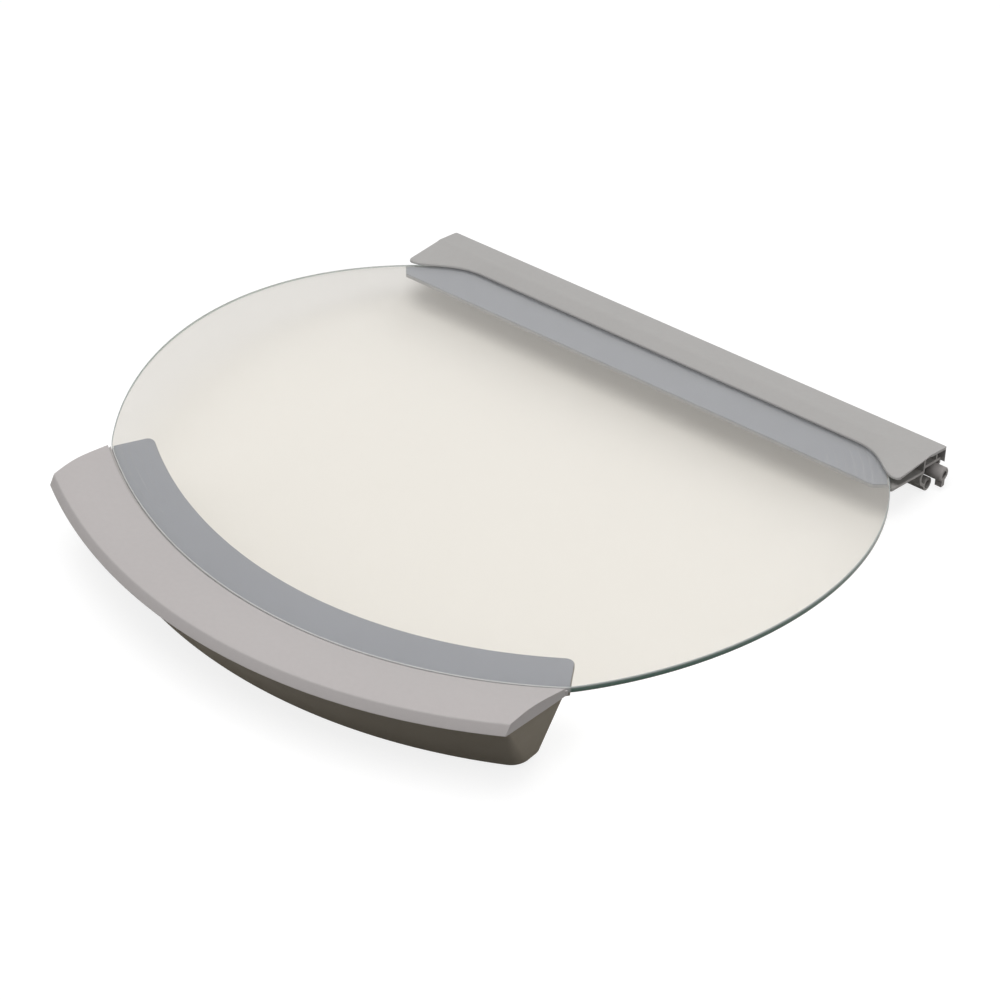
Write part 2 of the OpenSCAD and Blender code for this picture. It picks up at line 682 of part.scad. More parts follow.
module pin_clip(side) {
    color([0.70, 0.71, 0.72]) place() at_pin(side) translate([pin_len - 2.2 - groove_t + 0.1, 0, 0])
        rotate([0, 90, 0]) difference() {
            cylinder(r = clip_r, h = clip_t, $fn = round_fn);
            translate([0, 0, -1]) cylinder(r = pin_r - 1 + 0.02, h = clip_t + 2, $fn = round_fn);
            translate([0, -pin_r * 0.6, -1]) cube([clip_r + 1, pin_r * 1.2, clip_t + 2]);
        }
}
module left_pin_clip() pin_clip(-1);
module right_pin_clip() pin_clip(1);

glass_panel();
handle_lip();
handle_shell();
handle_bond();
left_bumper();
right_bumper();
hinge_cover();
hinge_bracket();
hinge_bond();
glass_seal();
cover_screw_1();
cover_screw_2();
cover_screw_3();
cover_screw_4();
cover_screw_5();
left_pin();
right_pin();
left_pin_clip();
right_pin_clip();
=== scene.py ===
# %% [markdown]
# Round glass lid of a top-loading washing machine.
# The lid is a bent pane of tempered glass between two mouldings: a curved handle along its
# flatter front edge and a straight hinge bar along its cut rear edge. This lesson dresses the
# lid's solid model: the large smooth skins are worked out again as dense surfaces, the small
# parts keep their solids, and everything gets a finish made of shader nodes.

# %% Load the solid model as a fixed frame
import math

import bpy
import numpy as np
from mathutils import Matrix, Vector


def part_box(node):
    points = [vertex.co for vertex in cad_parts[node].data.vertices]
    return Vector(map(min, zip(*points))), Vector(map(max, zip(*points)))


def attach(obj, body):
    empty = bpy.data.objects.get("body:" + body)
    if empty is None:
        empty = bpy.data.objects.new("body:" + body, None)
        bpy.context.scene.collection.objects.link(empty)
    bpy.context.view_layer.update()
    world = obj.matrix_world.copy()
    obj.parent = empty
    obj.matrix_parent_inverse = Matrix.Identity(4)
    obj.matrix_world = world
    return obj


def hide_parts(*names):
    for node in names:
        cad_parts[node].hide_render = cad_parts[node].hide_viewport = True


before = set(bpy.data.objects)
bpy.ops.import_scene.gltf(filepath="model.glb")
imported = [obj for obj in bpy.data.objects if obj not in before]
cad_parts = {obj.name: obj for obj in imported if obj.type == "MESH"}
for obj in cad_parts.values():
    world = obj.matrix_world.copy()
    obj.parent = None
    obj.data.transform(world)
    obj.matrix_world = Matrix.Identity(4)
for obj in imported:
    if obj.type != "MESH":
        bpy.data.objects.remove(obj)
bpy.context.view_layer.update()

# %% [markdown]
# The main sizes of the lid. Every surface below is worked out in millimetres from the middle of
# the round glass, as a maker's drawing would give it, and moved into the frame at the end. The
# place of the solid cover's rear edge gives that move, so that skins and solids share one place.

# %% Sizes and the move into the frame
MM = 0.001
GLASS_R, GLASS_T = 235.0, 4.0
BEND_R, CROWN_Y = 1316.0, -101.0
FRONT_R, FRONT_CUT, REAR_CUT = 316.0, 23.5, 66.0
SEAM_W = 1.6
REAR_GLASS_H = 23.0
GLASS_FRONT, GLASS_REAR = GLASS_R - FRONT_CUT, GLASS_R - REAR_CUT
ARC_Y = FRONT_R - GLASS_FRONT
COVER_REAR = GLASS_REAR + 23.4
SHIFT_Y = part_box("hinge_cover")[1][1] / MM - COVER_REAR
BEND_Z = REAR_GLASS_H - math.sqrt(BEND_R**2 - (GLASS_REAR - CROWN_Y) ** 2)


def glass_top(y, depth=0.0):
    """Height of the bent glass at depth below its top: a circle of radius BEND_R - depth about
    the bend's centre line, which runs along X above the crown line."""
    return BEND_Z + np.sqrt((BEND_R - depth) ** 2 - (y - CROWN_Y) ** 2)


CORNER_Y = (ARC_Y**2 - FRONT_R**2 + GLASS_R**2) / (2 * ARC_Y)
CORNER_X = math.sqrt(GLASS_R**2 - CORNER_Y**2)
EDGE_Z = float(glass_top(-GLASS_FRONT))
TILT = math.atan((float(glass_top(CORNER_Y)) - EDGE_Z) / (CORNER_Y + GLASS_FRONT))
HANDLE_HALF = CORNER_X + 3.1
LIP_OUT, END_FLARE = 41.0, 1.4
END_FRONT_Y = ARC_Y - math.sqrt((FRONT_R + LIP_OUT) ** 2 - HANDLE_HALF**2)


def handle_end(y):
    """Half length of the handle at a distance y: each end face stands 1.4 mm further out at the
    corner of the glass than at the front, in a straight line."""
    return HANDLE_HALF + END_FLARE * (y - END_FRONT_Y) / (CORNER_Y - END_FRONT_Y)


print(f"corner of the glass ({CORNER_X:.1f}, {CORNER_Y:.1f}), edge height {EDGE_Z:.2f} mm")

# %% [markdown]
# Every skin is one or more grids of points. A grid becomes faces by joining each point to its
# neighbours, and a closed piece is a set of grids whose shared borders are merged. Writing whole
# arrays keeps the code free of loops over points.

# %% Helpers that turn grids into a mesh
def grid_faces(rows, cols, wrap=False, first=0):
    """Quads of a grid stored row by row: point (i, j) joins (i, j+1), (i+1, j+1) and (i+1, j).
    With wrap, the last column joins the first."""
    j = np.arange(cols if wrap else cols - 1)
    i = np.arange(rows - 1)[:, None]
    a, b = i * cols + j, i * cols + (j + 1) % cols
    return first + np.stack([a, b, b + cols, a + cols], -1).reshape(-1, 4)


def make_piece(name, grids, body, node=None, merge=1e-6, smooth=35):
    """One mesh from grids of (points in mm [rows, cols, 3], wrap, flip, material index). A grid
    of one flat ring [points, 3] becomes a single face."""
    points, faces, slots, first = [], [], [], 0
    for pts, wrap, flip, index in grids:
        if pts.ndim == 2:
            quads = first + np.arange(len(pts))[None]
        else:
            quads = grid_faces(pts.shape[0], pts.shape[1], wrap, first)
        faces += (quads[:, ::-1] if flip else quads).tolist()
        slots.append(np.full(len(quads), index))
        points.append(pts.reshape(-1, 3))
        first += len(points[-1])
    points = (np.concatenate(points) + [0, SHIFT_Y, 0]) * MM
    mesh = bpy.data.meshes.new(name)
    mesh.from_pydata(points.tolist(), [], faces)
    mesh.polygons.foreach_set("material_index", np.concatenate(slots).astype(np.int32))
    tidy_mesh(mesh, merge)
    mesh.set_sharp_from_angle(angle=math.radians(smooth))
    piece = bpy.data.objects.new(name, mesh)
    bpy.context.scene.collection.objects.link(piece)
    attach(piece, body)
    if node:
        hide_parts(node)
    print(f"{name}: {len(mesh.polygons)} faces, {np.ptp(points, axis=0).round(4)} m")
    return piece


def tidy_mesh(mesh, merge):
    """Merges shared borders, drops faces that shrank to a line and turns all faces outwards."""
    import bmesh

    bm = bmesh.new()
    bm.from_mesh(mesh)
    bmesh.ops.remove_doubles(bm, verts=bm.verts, dist=merge)
    bmesh.ops.dissolve_degenerate(bm, edges=bm.edges, dist=merge / 10)
    bmesh.ops.recalc_face_normals(bm, faces=bm.faces)
    bm.to_mesh(mesh)
    bm.free()
    mesh.polygons.foreach_set("use_smooth", np.ones(len(mesh.polygons), bool))


def slab(top, bottom, index=0):
    """Grids of a closed plate: its two faces and a strip round each of their four borders."""
    def border(a, b):
        return np.stack([a, b])
    return [
        (top, False, False, index), (bottom, False, True, index),
        (border(top[0], bottom[0]), False, False, index),
        (border(top[-1], bottom[-1]), False, True, index),
        (border(top[:, 0], bottom[:, 0]), False, True, index),
        (border(top[:, -1], bottom[:, -1]), False, False, index),
    ]


def add_bevel(piece, width, segments=3, angle=40):
    """Rounds the piece's sharp edges by width in mm."""
    mod = piece.modifiers.new("edge_round", "BEVEL")
    mod.width, mod.segments = width * MM, segments
    mod.limit_method, mod.angle_limit = "ANGLE", math.radians(angle)
    mod.harden_normals = True
    return mod


# %% [markdown]
# The pane is a disc of tempered glass with a flatter front and a straight rear, bent over a
# large cylinder. Its outline is one radius for each direction from the middle: the smallest of
# the round edge, the front arc and the rear line. Rings of points shrink this outline to the
# middle, and the polished edge is a few rings that roll over from the top to the underside.

# %% Glass pane
def glass_outline(angle, round_off=0.5):
    """Distance from the middle to the edge in each direction: the least of the circle, the ray's
    far meeting with the front arc and with the rear line, with corners softened by a smooth
    minimum of width round_off. The pane ends a seam's width short of the handle."""
    dx, dy = np.cos(angle), np.sin(angle)
    along = dy * ARC_Y
    front = along + np.sqrt(along**2 + (FRONT_R - SEAM_W) ** 2 - ARC_Y**2)
    rear = np.where(dy > 0.05, GLASS_REAR / np.maximum(dy, 0.05), 1e4)
    stack = np.stack([np.full_like(angle, GLASS_R), front, rear])
    low = stack.min(axis=0)
    return low - round_off * np.log(np.exp(-(stack - low) / round_off).sum(axis=0)) * 1.0


def glass_rings(turns=900, rings=26):
    """Rings of the whole pane: share of the outline, inset from it and depth below the top, from
    the middle of the top, out over the rolled edge and back to the middle of the underside."""
    angle = np.linspace(0, 2 * np.pi, turns, endpoint=False)
    reach = glass_outline(angle)
    roll = np.radians(np.linspace(0, 90, 6))
    e = 0.6
    inset = e * (1 - np.sin(roll))
    depth = e * (1 - np.cos(roll))
    share = np.sqrt(np.linspace(0, 1, rings))
    top = [(s, e, 0.0) for s in share]
    edge = list(zip(np.ones(6), inset, depth))[1:]
    edge += [(1.0, 0.0, GLASS_T - e)] + list(zip(np.ones(6), inset[::-1], GLASS_T - depth[::-1]))[1:]
    under = [(s, e, GLASS_T) for s in share[::-1]][1:]
    table = np.array(top + edge + under)
    r = table[:, 0, None] * (reach[None] - table[:, 1, None])
    x, y = r * np.cos(angle), r * np.sin(angle)
    z = glass_top(y, table[:, 2, None])
    return np.stack([x, y, z], -1), len(top), len(edge)


rings, n_top, n_edge = glass_rings()
glass = make_piece("glass", [
    (rings[:n_top], True, False, 0),
    (rings[n_top - 1:n_top + n_edge], True, False, 1),
    (rings[n_top + n_edge - 1:], True, False, 0),
], "lid", "glass_panel", smooth=80)

# %% [markdown]
# The upper handle moulding is one section swept along the front arc. The arc lies in a plane
# that leans with the glass, so the section is turned about an axis square to that plane. Its
# two ends are flat and lean apart a little towards the rear, so each line of the section stops
# at its own angle.

# %% The front arc's plane
def on_front_edge(r, angle, h):
    """Point at radius r, angle from the middle and height h in the plane of the front edge:
    (r sin a, -r cos a, h), moved by the arc's radius, tilted about X and set on the edge."""
    x = r * np.sin(angle)
    y = FRONT_R - r * np.cos(angle)
    c, s = math.cos(TILT), math.sin(TILT)
    return np.stack([x, -GLASS_FRONT + y * c - h * s, EDGE_Z + y * s + h * c], -1)


def bezier(p, n):
    """Cubic Bezier curve through four control points: their Bernstein-weighted sum."""
    t = np.linspace(0, 1, n + 1)[:, None]
    p = np.asarray(p, float)
    return (1 - t) ** 3 * p[0] + 3 * (1 - t) ** 2 * t * p[1] + 3 * (1 - t) * t**2 * p[2] + t**3 * p[3]


# %% Upper handle moulding
EDGE_GAP, LIP_START_H, LIP_EDGE_H = 0.2, 1.1, 2.3
CREASE_OUT, CREASE_H = 36.5, 8.4
SEAM = 0.2
NOSE_IN, SHELL_IN = LIP_OUT - 1.4, -1.5
LIP_FOOT = -(GLASS_T + 0.8)


def seam_height(out):
    """Height of the seam at a distance out: a straight line from the shell's rear wall to the
    inner edge of the lip's nose."""
    return LIP_FOOT + (LIP_EDGE_H - 0.2 - LIP_FOOT) * (out - SHELL_IN) / (NOSE_IN - SHELL_IN)


def lip_section():
    """Closed section of the lip as distance from the glass edge and height above it."""
    top = bezier([[EDGE_GAP, LIP_START_H], [18, CREASE_H * 0.86], [22, CREASE_H + 0.7],
                  [CREASE_OUT, CREASE_H]], 27)
    nose = np.array([[CREASE_OUT + 0.5, CREASE_H - 0.1], [CREASE_OUT + 0.95, CREASE_H - 0.4],
                     [CREASE_OUT + 1.3, CREASE_H - 0.95], [LIP_OUT - 0.35, LIP_EDGE_H + 1.0],
                     [LIP_OUT - 0.05, LIP_EDGE_H + 0.35], [LIP_OUT - 0.1, LIP_EDGE_H + 0.05],
                     [LIP_OUT - 0.4, LIP_EDGE_H - 0.1]])
    under = np.array([[o, seam_height(o)] for o in np.linspace(NOSE_IN, EDGE_GAP + 0.3, 8)])
    rim = np.array([[EDGE_GAP, seam_height(EDGE_GAP) + 0.3], [EDGE_GAP, -1.0]])
    return np.concatenate([top, nose, under, rim])


def swept(section, steps=160):
    """The section carried along the front arc: each of its points runs at radius FRONT_R + out
    from one end plane to the other. x = r sin a, so a goes to asin(end / r), and the end face's
    own place there is found in a few turns."""
    r, h = FRONT_R + section[:, 0], section[:, 1]
    a = np.arcsin(HANDLE_HALF / r)
    for _ in range(6):
        a = np.arcsin(handle_end(on_front_edge(r, a, h)[:, 1]) / r)
    v = np.linspace(-1, 1, steps)[:, None]
    return on_front_edge(r, v * a, np.broadcast_to(h, (steps, len(r))))


section = lip_section()
skin = swept(section)


lip = make_piece("handle_top", [
    (skin, True, False, 0), (skin[0], False, True, 0), (skin[-1], False, False, 0),
], "lid", "handle_lip", smooth=30)
add_bevel(lip, 0.45)

# %% [markdown]
# The lower moulding is a hull under the lip: a long curved tray whose walls lean in towards a
# narrow foot with round corners. It is lofted, each ring being an outline seen from above that
# shrinks from the seam to the foot, and it rolls into the foot through a quarter circle.

# %% Lower handle moulding
SHELL_TOP_OUT, KEEL_OUT, KEEL_IN = LIP_OUT - 3.4, 12.0, 7.0
KEEL_HALF, KEEL_CORNER, KEEL_FILLET = HANDLE_HALF - 11.5, 13.0, 2.6
FOOT_Z, END_STEP = 1.2, 1.2


def hull_outline(r_front, r_back, half, corner, flare, side=40, turn=12):
    """Right half of the hull seen from above, from the middle of its front to the middle of its
    rear: a front arc, a round corner, a straight end, a small round corner and a rear arc."""
    rc = corner * 0.4
    cf = np.array([half - corner, -math.sqrt((r_front - corner) ** 2 - (half - corner) ** 2)])
    xb = half + flare - rc
    cb = np.array([xb, -math.sqrt((r_back + rc) ** 2 - xb**2)])
    af, ab = math.atan2(cf[1], cf[0]), math.atan2(cb[1], cb[0])

    def arc(centre, r, a0, a1, n, skip=0):
        a = np.linspace(a0, a1, n + 1)[skip:]
        return np.asarray(centre) + r * np.stack([np.cos(a), np.sin(a)], -1)

    down = -math.pi / 2
    return np.concatenate([
        arc((0, 0), r_front, down, af, side), arc(cf, corner, af, 0, turn, 1),
        arc(cb, rc, 0, ab + math.pi, turn), arc((0, 0), r_back, ab, down, side, 1)])


def hull_ring(t, inset=0.0):
    """The hull's outline at share t of the way from the seam to the foot, both halves."""
    mix = lambda a, b: a + (b - a) * t
    half = hull_outline(FRONT_R + mix(SHELL_TOP_OUT, KEEL_OUT) - inset,
                        FRONT_R + mix(SHELL_IN, -KEEL_IN) + inset,
                        mix(HANDLE_HALF - END_STEP, KEEL_HALF) - inset,
                        max(mix(2.5, KEEL_CORNER) - inset, 1.0), mix(END_FLARE, 0.0))
    other = half[-2:0:-1] * [-1, 1]
    p = np.concatenate([half, other])
    out = np.hypot(p[:, 0], p[:, 1]) - FRONT_R
    top = EDGE_Z + seam_height(out) - SEAM + (p[:, 1] + ARC_Y + GLASS_FRONT) * math.tan(TILT)
    return np.stack([p[:, 0], p[:, 1] + ARC_Y, top + (FOOT_Z - top) * t], -1)


depth = EDGE_Z + LIP_FOOT - FOOT_Z
bend = KEEL_FILLET / depth
walls = [hull_ring(t) for t in np.concatenate([np.linspace(0, 1 - bend, 14)])]
roll = [hull_ring(1 - bend * (1 - math.sin(a)), KEEL_FILLET * (1 - math.cos(a)))
        for a in np.radians(np.linspace(0, 90, 9)[1:])]
hull = np.stack(walls + roll)


def across(ring):
    """A cap that joins the front half of a ring to its rear half."""
    n = len(ring)
    half = n // 2
    k = np.arange(half // 2 + 1)
    right = np.stack([ring[k], ring[half - k]], 1)
    left = np.stack([ring[(n - k) % n], ring[half + k]], 1)
    return right, left


foot = across(hull[-1])
lid_cap = across(hull[0])

# %% Flange of the lower moulding, under the glass
FLANGE_W, FLANGE_T, FLANGE_TAPER, FLANGE_CORNER = 28.0, 2.4, 11.5, 4.5
FLANGE_SLOPE, FLANGE_REACH = math.tan(math.radians(-31)), GLASS_R - 1.3


def flange_grid(depth, inset=0.0, outer=EDGE_GAP + 3.2, rows=28, cols=140):
    """The flange seen from above is a ring sector about the arc's centre. Its ends follow a
    slanted line, x = half + slope (y - y_in), up to the round edge of the glass, and its inner
    corners are rounded by pulling each row in by c - sqrt(c^2 - (c - d)^2) at distance d from the
    inner arc."""
    half = HANDLE_HALF - FLANGE_TAPER
    y_in = ARC_Y - math.sqrt((FRONT_R - FLANGE_W) ** 2 - half**2)
    r = FRONT_R - FLANGE_W + inset + np.linspace(0, 1, rows) ** 1.6 * (FLANGE_W - inset + outer)
    x = np.full_like(r, half)
    for _ in range(30):
        x = half - inset + FLANGE_SLOPE * (ARC_Y - np.sqrt(r**2 - x**2) - y_in)
    reach = FLANGE_REACH - inset
    y_round = (ARC_Y**2 + reach**2 - r**2) / (2 * ARC_Y)
    x = np.minimum(x, np.sqrt(reach**2 - y_round**2))
    near = np.clip(FLANGE_CORNER - (r - r[0]), 0, FLANGE_CORNER)
    x = x - (FLANGE_CORNER - np.sqrt(FLANGE_CORNER**2 - near**2))
    a = np.linspace(-1, 1, cols) * np.arcsin(x / r)[:, None]
    px, py = r[:, None] * np.sin(a), ARC_Y - r[:, None] * np.cos(a)
    return np.stack([px, py, glass_top(py, depth)], -1)


flange = slab(flange_grid(GLASS_T + 0.8), flange_grid(GLASS_T + 0.8 + FLANGE_T))
shell = make_piece("handle_base", [
    (hull, True, False, 0),
    (foot[0], False, False, 0), (foot[1], False, True, 0),
    (lid_cap[0], False, True, 0), (lid_cap[1], False, False, 0),
] + flange, "lid", "handle_shell", smooth=30)

# %% [markdown]
# The pane is glued down on both flanges. The glue spreads in a layer less than a millimetre
# thick, almost to the flange's edge, and it is what the eye meets through the glass: two smooth
# grey bands. Each layer follows the same plan as its flange, a hair's breadth smaller. At the
# handle a bead of it also rises in the seam between the pane's edge and the upper moulding.

# %% Glue under the glass
GLUE_T = 0.8
GLUE_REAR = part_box("hinge_bond")[1][1] / MM - SHIFT_Y
PLATE_FRONT, PLATE_HALF, PLATE_CUT = GLASS_REAR - 44.5, 195.0, 9.0


def plate_grid(depth, inset=0.35, rows=24, cols=90):
    """The hinge flange seen from above: at each y its half length is the least of the straight
    side, the cut corner x = half - cut (1 - (y - front) / 10) and the round edge of the glass."""
    y = np.linspace(PLATE_FRONT + inset, GLUE_REAR, rows)
    cut = PLATE_HALF - PLATE_CUT * (1 - (y - PLATE_FRONT) / 10)
    x = np.minimum(np.minimum(PLATE_HALF, cut), np.sqrt((GLASS_R - 1.4) ** 2 - y**2)) - inset
    px = np.linspace(-1, 1, cols) * x[:, None]
    py = np.broadcast_to(y[:, None], px.shape)
    return np.stack([px, py, glass_top(py, depth)], -1)


bead = swept(np.array([(0.1, -1.4), (0.1, -4.7), (0.1 - SEAM_W, -4.7), (0.1 - SEAM_W, -1.4)]))
handle_glue = make_piece("handle_glue", slab(
    flange_grid(GLASS_T, 0.35, -0.4 - SEAM_W), flange_grid(GLASS_T + GLUE_T, 0.35, -0.4 - SEAM_W))
    + [(bead, True, False, 1), (bead[0], False, True, 1), (bead[-1], False, False, 1)],
    "lid", "handle_bond")
hinge_glue = make_piece("hinge_glue", slab(plate_grid(GLASS_T), plate_grid(GLASS_T + GLUE_T)),
                        "lid", "hinge_bond")

# %% [markdown]
# The hinge cover is a thin moulding whose section changes along its length: over the middle its
# front edge is straight, and towards each end it sweeps forward over the glass. Stations along
# the length crowd towards the ends, where the shape changes most.

# %% Hinge cover
BRACKET_HALF = 195.0
COVER_HALF, COVER_FLARE = BRACKET_HALF + 1, 2.0
COVER_FRONT, COVER_TIP = GLASS_REAR - 7.5, GLASS_REAR - 30.5
COVER_BEND, SWEEP_START = GLASS_REAR + 4, COVER_HALF - 51
BEND_H = float(glass_top(COVER_BEND)) + 7.4
REAR_H, SKIRT_H, COVER_T = BEND_H - 3.4, 11.0, 1.8
TIP_R, BACK_R = 3.2, 2.6


def cover_front(x):
    """The front edge's place: straight up to the sweep's start, then an S-curve to the tip, and a
    quarter circle of radius TIP_R round the tip's outer corner."""
    u = np.clip((np.abs(x) - SWEEP_START) / (COVER_HALF - 3 - SWEEP_START), 0, 1) ** 1.55
    past = np.clip(np.abs(x) - (COVER_HALF - TIP_R), 0, TIP_R)
    return (COVER_FRONT + (COVER_TIP - COVER_FRONT) * u * u * (3 - 2 * u)
            + TIP_R - np.sqrt(TIP_R**2 - past**2))


def cover_end(y):
    """Half length of the cover at a distance y: each end flares by 2 mm to the rear, and the rear
    corner is a quarter circle of radius BACK_R."""
    past = np.clip(y - (COVER_REAR - BACK_R), 0, BACK_R)
    return (COVER_HALF + COVER_FLARE * (y - COVER_TIP) / (COVER_REAR - COVER_TIP)
            - BACK_R + np.sqrt(BACK_R**2 - past**2))


def cover_grid(profile, stations=241):
    """A skin of the cover: profile(front, height of the glass there) gives a section's points,
    and station s in -1..1 puts them at x = s times the half length at their own y."""
    u = np.linspace(-1, 1, stations)
    s = np.sign(u) * (1 - (1 - np.abs(u)) ** 1.35)
    yf = cover_front(s * COVER_HALF)
    pts = profile(yf, glass_top(yf) + 0.15)
    return np.stack([s * cover_end(pts[..., 0]), pts[..., 0], pts[..., 1]], -1)


def cover_outside(yf, z0):
    """Outer section from the front edge, over the bend, to the foot of the rear skirt."""
    one = np.ones_like(yf)
    up = [(yf, z0), (yf + 0.02, z0 + 0.8), (yf + 0.12, z0 + 1.2), (yf + 0.35, z0 + 1.5),
          (yf + 0.7, z0 + 1.65)]
    b, r = COVER_BEND, COVER_REAR
    y1, h1 = up[-1]
    slope = [(y1 + (b - 2.4 - y1) * t, h1 + (BEND_H - 0.2 - h1) * t) for t in np.linspace(0.08, 1, 10)]
    over = [(b - 1.2, BEND_H - 0.05), (b, BEND_H), (b + 1.2, BEND_H - 0.16), (b + 2.6, BEND_H - 0.42),
            (b + 8, BEND_H - 1.35), (b + 14, BEND_H - 2.4), (r - 2.2, REAR_H + 0.36),
            (r - 1.2, REAR_H + 0.12), (r - 0.5, REAR_H - 0.35), (r - 0.12, REAR_H - 1.0),
            (r, REAR_H - 1.8), (r, REAR_H - 5), (r, REAR_H - SKIRT_H)]
    return np.stack([np.stack([p[0] * one, p[1] * one], -1) for p in up + slope + over])


def cover_inside(yf, z0):
    """Inner section, a wall's thickness inside the outer one, with as many points."""
    out = cover_outside(yf, z0)
    d = np.gradient(out, axis=0)
    n = np.stack([d[..., 1], -d[..., 0]], -1) / np.linalg.norm(d, axis=-1, keepdims=True)
    inner = out + n * COVER_T
    inner[..., 1] = np.maximum(inner[..., 1], np.where(inner[..., 0] < COVER_BEND, z0, -1e3))
    return inner


outside, inside = cover_grid(cover_outside), cover_grid(cover_inside)
cover = make_piece("hinge_cap", slab(outside, inside), "lid", "hinge_cover")
add_bevel(cover, 0.35)

# %% [markdown]
# Moulded plastic is not one flat colour: it has a fine spark-eroded grain, slow changes of tone
# from the flow of the melt, and here and there a faint rub. One node group holds all three, and
# each plastic gives it its own colour and strengths.

# %% Node groups shared by the finishes
def new_group(name, inputs, outputs):
    """An empty shader node group with sockets (name, kind, default)."""
    tree = bpy.data.node_groups.new(name, "ShaderNodeTree")
    for label, kind, value in inputs:
        socket = tree.interface.new_socket(label, in_out="INPUT", socket_type=kind)
        socket.default_value = value
    for label, kind in outputs:
        tree.interface.new_socket(label, in_out="OUTPUT", socket_type=kind)
    start, end = tree.nodes.new("NodeGroupInput"), tree.nodes.new("NodeGroupOutput")
    return tree, start, end


def add_node(tree, kind, links=None, **settings):
    """A node with its settings, default values by input name, and links into it."""
    node = tree.nodes.new("ShaderNode" + kind)
    for key, value in settings.items():
        if key in node.inputs.keys():
            node.inputs[key].default_value = value
        else:
            setattr(node, key, value)
    for key, socket in (links or {}).items():
        tree.links.new(socket, node.inputs[key])
    return node


FLOAT, COLOUR, VECTOR = "NodeSocketFloat", "NodeSocketColor", "NodeSocketVector"


def plastic_group():
    """Moulded plastic: tone = colour with slow noise, roughness with finer noise, and a normal
    from a fine grain, all read from Object coordinates."""
    tree, start, end = new_group("moulded_plastic", [
        ("Colour", COLOUR, (0.5, 0.5, 0.5, 1)), ("Tone change", FLOAT, 0.06),
        ("Roughness", FLOAT, 0.45), ("Grain size", FLOAT, 1400.0), ("Grain depth", FLOAT, 0.12),
    ], [("Colour", COLOUR), ("Roughness", FLOAT), ("Normal", VECTOR)])
    place = add_node(tree, "TexCoord").outputs["Object"]
    flow = add_node(tree, "TexNoise", {"Vector": place}, Scale=9.0, Detail=3.0, Roughness=0.55)
    speck = add_node(tree, "TexNoise", {"Vector": place}, Scale=320.0, Detail=2.0, Roughness=0.6)
    both = add_node(tree, "Math", {0: flow.outputs["Fac"], 1: speck.outputs["Fac"]}, operation="ADD")
    centred = add_node(tree, "Math", {0: both.outputs[0]}, operation="SUBTRACT")
    centred.inputs[1].default_value = 1.0
    scaled = add_node(tree, "Math", {0: centred.outputs[0], 1: start.outputs["Tone change"]},
                      operation="MULTIPLY")
    gain = add_node(tree, "Math", {0: scaled.outputs[0]}, operation="ADD")
    gain.inputs[1].default_value = 1.0
    tone = add_node(tree, "VectorMath", {0: start.outputs["Colour"], "Scale": gain.outputs[0]},
                    operation="SCALE")
    rub = add_node(tree, "TexNoise", {"Vector": place}, Scale=70.0, Detail=4.0, Roughness=0.7)
    rough = add_node(tree, "MapRange", {"Value": rub.outputs["Fac"]}, clamp=True)
    for key, value in (("From Min", 0.3), ("From Max", 0.7), ("To Min", -0.05), ("To Max", 0.05)):
        rough.inputs[key].default_value = value
    total = add_node(tree, "Math", {0: rough.outputs[0], 1: start.outputs["Roughness"]},
                     operation="ADD", use_clamp=True)
    grain = add_node(tree, "TexVoronoi", {"Vector": place, "Scale": start.outputs["Grain size"]})
    bump = add_node(tree, "Bump", {"Height": grain.outputs["Distance"],
                                   "Strength": start.outputs["Grain depth"]}, Distance=0.0002)
    tree.links.new(tone.outputs[0], end.inputs["Colour"])
    tree.links.new(total.outputs[0], end.inputs["Roughness"])
    tree.links.new(bump.outputs[0], end.inputs["Normal"])
    return tree


PLASTIC = plastic_group()


def rgb(r, g, b):
    """Linear colour from the 0 to 255 numbers that a paint chart gives."""
    c = np.array([r, g, b]) / 255
    lin = np.where(c <= 0.04045, c / 12.92, ((c + 0.055) / 1.055) ** 2.4)
    return (*lin.tolist(), 1.0)


def mix_colour(tree, factor, a, b):
    """Output of a colour mix; a and b are sockets or plain colours."""
    mix = add_node(tree, "Mix", data_type="RGBA")
    tree.links.new(factor, mix.inputs[0])
    for socket, value in ((mix.inputs[6], a), (mix.inputs[7], b)):
        if isinstance(value, tuple):
            socket.default_value = value
        else:
            tree.links.new(value, socket)
    return mix.outputs[2]


def new_material(name):
    """A material with a Principled shader, its tree and its shader node."""
    material = bpy.data.materials.new(name)
    material.use_nodes = True
    return material, material.node_tree, material.node_tree.nodes["Principled BSDF"]


def plastic(name, colour, rough=0.45, grain=1400.0, depth=0.12, change=0.06, gloss=0.5):
    """A moulded plastic of that colour."""
    material, tree, shader = new_material(name)
    group = tree.nodes.new("ShaderNodeGroup")
    group.node_tree = PLASTIC
    for key, value in (("Colour", colour), ("Tone change", change), ("Roughness", rough),
                       ("Grain size", grain), ("Grain depth", depth)):
        group.inputs[key].default_value = value
    tree.links.new(group.outputs["Colour"], shader.inputs["Base Color"])
    tree.links.new(group.outputs["Roughness"], shader.inputs["Roughness"])
    tree.links.new(group.outputs["Normal"], shader.inputs["Normal"])
    shader.inputs["IOR"].default_value = 1.46
    shader.inputs["Specular IOR Level"].default_value = gloss
    return material


